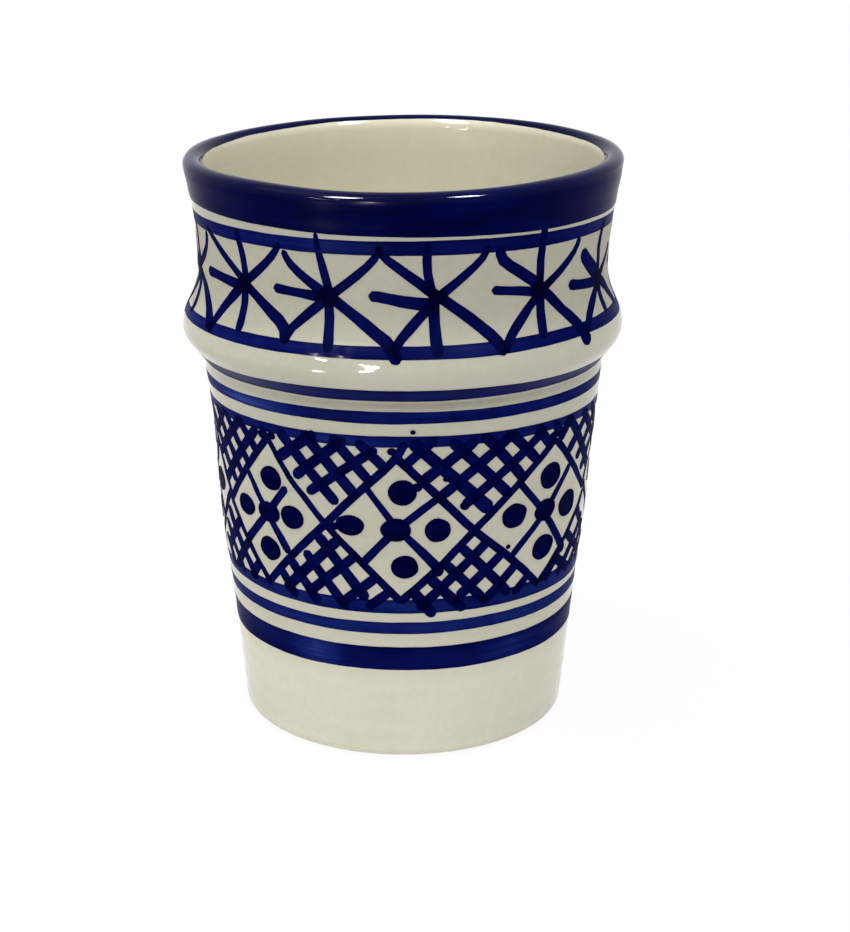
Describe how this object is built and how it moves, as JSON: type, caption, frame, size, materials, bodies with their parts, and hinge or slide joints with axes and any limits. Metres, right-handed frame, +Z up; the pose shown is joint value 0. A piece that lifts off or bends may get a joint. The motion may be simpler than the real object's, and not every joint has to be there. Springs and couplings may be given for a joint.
{
  "type": "ceramic tumbler",
  "caption": "Hand-thrown ceramic cup without a handle: tapered wall, raised bead under a flared neck, white glaze with brushed blue bands, stars and a net of dotted diamonds. Holds a drink.",
  "frame": {"origin": "on the table, at the centre of the foot ring", "axes": "+Z up along the axis that the cup was thrown on; -Y faces the picture's viewer; +X to the viewer's right"},
  "size_m": [0.0816, 0.0816, 0.1076],
  "materials": {
    "bare_clay": "unglazed, matte, trimmed foot",
    "white_glaze": "glossy off-white glaze",
    "band_paint": "glossy dark blue under the glaze",
    "line_paint": "glossy blue, brushed thin",
    "stroke_paint": "glossy navy brush strokes"
  },
  "bodies": {
    "root": {"clay_body": "bare_clay", "white_glaze": "white_glaze", "rim_band": "band_paint", "star_upper_line": "line_paint", "star_row": "stroke_paint", "star_lower_line": "line_paint", "collar_line": "line_paint", "shoulder_line": "line_paint", "lattice_upper_line": "line_paint", "lattice_net": "stroke_paint", "diamond_dots": "stroke_paint", "lattice_lower_line": "line_paint", "foot_line": "line_paint", "foot_band": "band_paint"}
  },
  "joints": []
}
